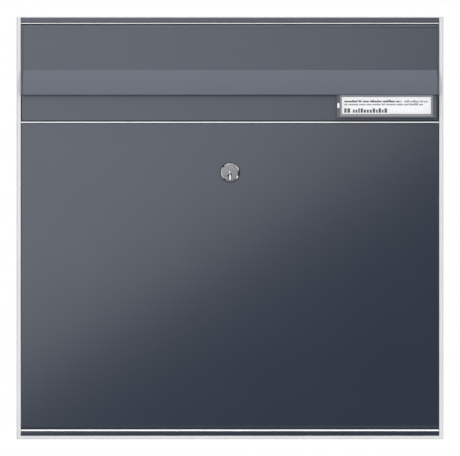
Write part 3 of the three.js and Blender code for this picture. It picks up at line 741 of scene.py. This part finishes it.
def make_print():
    """Lines of plain ink blocks where a label has its writing; they are no letters of any script."""
    low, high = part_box("nameplate_label")
    chance = random.Random(11)
    face_y = low.y
    left, right = low.x + 2.4 * MM, high.x - 2.2 * MM
    first, second, name = high.z - 4.75 * MM, high.z - 7.35 * MM, low.z + 1.2 * MM
    small = 1.2 * MM, 0.9 * MM, 0.22 * MM

    dark = bmesh.new()
    span = left, left + 51 * MM
    ink_line(dark, chance, face_y, span, first, 1.4 * MM, 1.0 * MM, 0.1 * MM, (11, 3, 5, 9))
    span = left, left + 40 * MM
    ink_line(dark, chance, face_y, span, name, 2.75 * MM, 1.9 * MM, 0.75 * MM, (2, 12))
    make_ink(dark, "label_print_dark", INK)

    pale = bmesh.new()
    ink_line(pale, chance, face_y, (left + 53 * MM, right), first, *small, (4, 7, 3, 6))
    ink_line(pale, chance, face_y, (left, right - 5 * MM), second, *small, (3, 8, 5, 4, 7))
    make_ink(pale, "label_print_pale", PALE_INK)


# ---- rivets ----

def rivet(name, body, centre, towards, radius):
    """A low domed head on a surface; towards is -1 for a head that faces the front, 1 for the rear."""
    x, y, z = centre
    height = 0.45 * radius
    foot = y - towards * 0.05 * MM
    profile = [(0.0, foot), (radius, foot)]
    for degrees in range(0, 90, 15):
        angle = math.radians(degrees)
        profile.append((radius * math.cos(angle), y + towards * height * math.sin(angle)))
    profile.append((0.0, y + towards * height))
    piece = make_piece(name, turned(name, profile, x, z, 28), "zinc_steel", body)
    round_edges(piece, 0.08 * MM)


def make_bracket_rivets(hinge, reach):
    """Two rivets in each bracket of a hinge; reach is -1 where the bracket runs down from it, 1 where up."""
    for side, sign in (("left", -1), ("right", 1)):
        low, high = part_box(f"{hinge}_hinge_bracket_{side}")
        hinge_end = high.z if reach < 0 else low.z
        x = (low.x if sign < 0 else high.x) - sign * BRACKET_EDGE
        y = high.y - BRACKET_BASE
        for i, distance in enumerate(BRACKET_RIVETS):
            name = f"{hinge}_bracket_rivet_{side}_{i + 1}"
            rivet(name, "housing", (x, y, hinge_end + reach * distance), -1, BRACKET_RIVET)


def make_stiffener_rivets():
    low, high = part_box("door_stiffener")
    for i, x in enumerate(STIFFENER_RIVETS):
        centre = (x, low.y + STIFFENER_SHEET, (low.z + high.z) / 2)
        rivet(f"stiffener_rivet_{i + 1}", "door", centre, 1, STIFFENER_RIVET)


# ---- floor, world, camera and lights ----

def make_floor():
    low, high = CAD_BOUNDS
    shape = bmesh.new()
    bmesh.ops.create_circle(shape, cap_ends=True, radius=FLOOR_RADIUS, segments=96)
    mesh = to_mesh("floor", shape)
    floor = bpy.data.objects.new("floor", mesh)
    floor.location = (0.0, (low[1] + high[1]) / 2, low[2] - FLOOR_DROP)
    bpy.context.scene.collection.objects.link(floor)
    material, tree, shader = new_material("floor_paint", Specular_IOR_Level=0.2)
    vary_colour(tree, shader, noise(tree, 0.3, 2.0), FLOOR_SHADE, 0.99)
    mesh.materials.append(material)


def make_world():
    """White to the camera and an even grey to matt surfaces. Shiny ones show the soft boxes instead."""
    world = bpy.data.worlds.new("studio")
    world.use_nodes = True
    bpy.context.scene.world = world
    world.cycles_visibility.glossy = False
    tree = world.node_tree
    background = tree.nodes["Background"]
    background.inputs["Color"].default_value = (*WORLD_SHADE, 1.0)
    seen = tree.nodes.new("ShaderNodeBackground")
    seen.inputs["Color"].default_value = (*WHITE, 1.0)
    path = tree.nodes.new("ShaderNodeLightPath")
    mix = tree.nodes.new("ShaderNodeMixShader")
    tree.links.new(path.outputs["Is Camera Ray"], mix.inputs["Fac"])
    tree.links.new(background.outputs["Background"], mix.inputs[1])
    tree.links.new(seen.outputs["Background"], mix.inputs[2])
    tree.links.new(mix.outputs["Shader"], tree.nodes["World Output"].inputs["Surface"])


def aim(obj, place, target):
    obj.location = place
    obj.rotation_euler = (Vector(target) - Vector(place)).to_track_quat("-Z", "Y").to_euler()


def make_camera():
    camera = bpy.data.cameras.new("camera")
    camera.sensor_width = SENSOR_MM
    camera.lens = SENSOR_MM * CAMERA_DISTANCE / FIELD_WIDTH
    camera.clip_end = 50.0
    viewer = bpy.data.objects.new("camera", camera)
    bpy.context.scene.collection.objects.link(viewer)
    aim(viewer, (0.0, FACE_Y - CAMERA_DISTANCE, 0.0), (0.0, FACE_Y, 0.0))
    bpy.context.scene.camera = viewer


def soft_box(name, place, target, size, power, colour=WHITE, roll=0.0, diffuse=True, glossy=True):
    """A soft box the camera doesn't see. It can be kept from matt surfaces or out of reflections."""
    light = bpy.data.lights.new(name, "AREA")
    light.shape = "RECTANGLE"
    light.size, light.size_y = size
    light.energy = power
    light.color = colour
    lamp = bpy.data.objects.new(name, light)
    bpy.context.scene.collection.objects.link(lamp)
    aim(lamp, place, target)
    lamp.rotation_euler.rotate_axis("Z", math.radians(roll))
    lamp.visible_camera = False
    lamp.visible_diffuse = diffuse
    lamp.visible_glossy = glossy
    return lamp


def make_front_card():
    """A large card in front of the mailbox; its lower edge is reflected as a soft diagonal on the door."""
    slope = math.radians(CARD_SLOPE)
    along = Vector((math.cos(slope), 0.0, math.sin(slope)))
    upward = Vector((-math.sin(slope), 0.0, math.cos(slope)))
    edge = Vector((0.0, FACE_Y - CARD_DISTANCE, CARD_EDGE_Z))
    centre = edge + upward * CARD_HEIGHT / 2 + along * CARD_SHIFT
    target = centre + Vector((0.0, CARD_DISTANCE, 0.0))
    size = CARD_WIDTH, CARD_HEIGHT
    power = CARD_RADIANCE * math.pi * CARD_WIDTH * CARD_HEIGHT
    card = soft_box("front_card", centre, target, size, power, COOL_WHITE, CARD_SLOPE, diffuse=False)
    card.data.use_nodes = True
    tree = card.data.node_tree
    geometry = tree.nodes.new("ShaderNodeNewGeometry")
    parts = tree.nodes.new("ShaderNodeSeparateXYZ")
    tree.links.new(geometry.outputs["Parametric"], parts.inputs["Vector"])
    fade = spread(tree, parts.outputs["X"], *CARD_FADE_STRENGTHS, CARD_FADE_PLACES)
    tree.links.new(fade, tree.nodes["Emission"].inputs["Strength"])


def make_lights():
    """The card and the soft boxes: place, target, width and height in metres, power in watts."""
    middle = (0.0, FACE_Y, 0.0)
    make_front_card()
    soft_box("front_fill", (0.0, FACE_Y - 1.6, 0.08), middle, (2.0, 0.6), 17.6, glossy=False)
    flap = (-0.2, FACE_Y, 0.13)
    soft_box("lip_box", (-0.2, FACE_Y - 0.62, 1.34), flap, (1.5, 0.5), 12.5, LIP_WHITE, diffuse=False)
    lock = (0.0, FACE_Y, LOCK_Z)
    soft_box("spark_box", (1.1, FACE_Y - 0.95, 0.85), lock, (0.5, 0.8), 8.5, diffuse=False)
    straight_down = (0.0, FACE_Y - 0.12, 0.0)
    soft_box("top_box", (0.0, FACE_Y - 0.12, 1.3), straight_down, (1.4, 0.7), 10.0, diffuse=False)
    soft_box("left_box", (-1.6, FACE_Y - 0.25, 0.3), middle, (0.5, 1.2), 0.2)
    soft_box("right_box", (1.6, FACE_Y - 0.25, 0.3), middle, (0.5, 1.2), 0.9)
    soft_box("rear_box", (0.9, FACE_Y + 1.7, 0.9), (0.0, 0.0, 0.0), (1.4, 0.9), 14.0)


# ---- the whole scene ----

finish_cad_nodes()
make_lock_head()
make_lock_core()
make_lock_shutter()
make_cam_bolt()
make_print()
make_bracket_rivets("flap", -1)
make_bracket_rivets("door", 1)
make_stiffener_rivets()
make_floor()
make_world()
make_camera()
make_lights()
bpy.context.scene.view_settings.view_transform = "Standard"
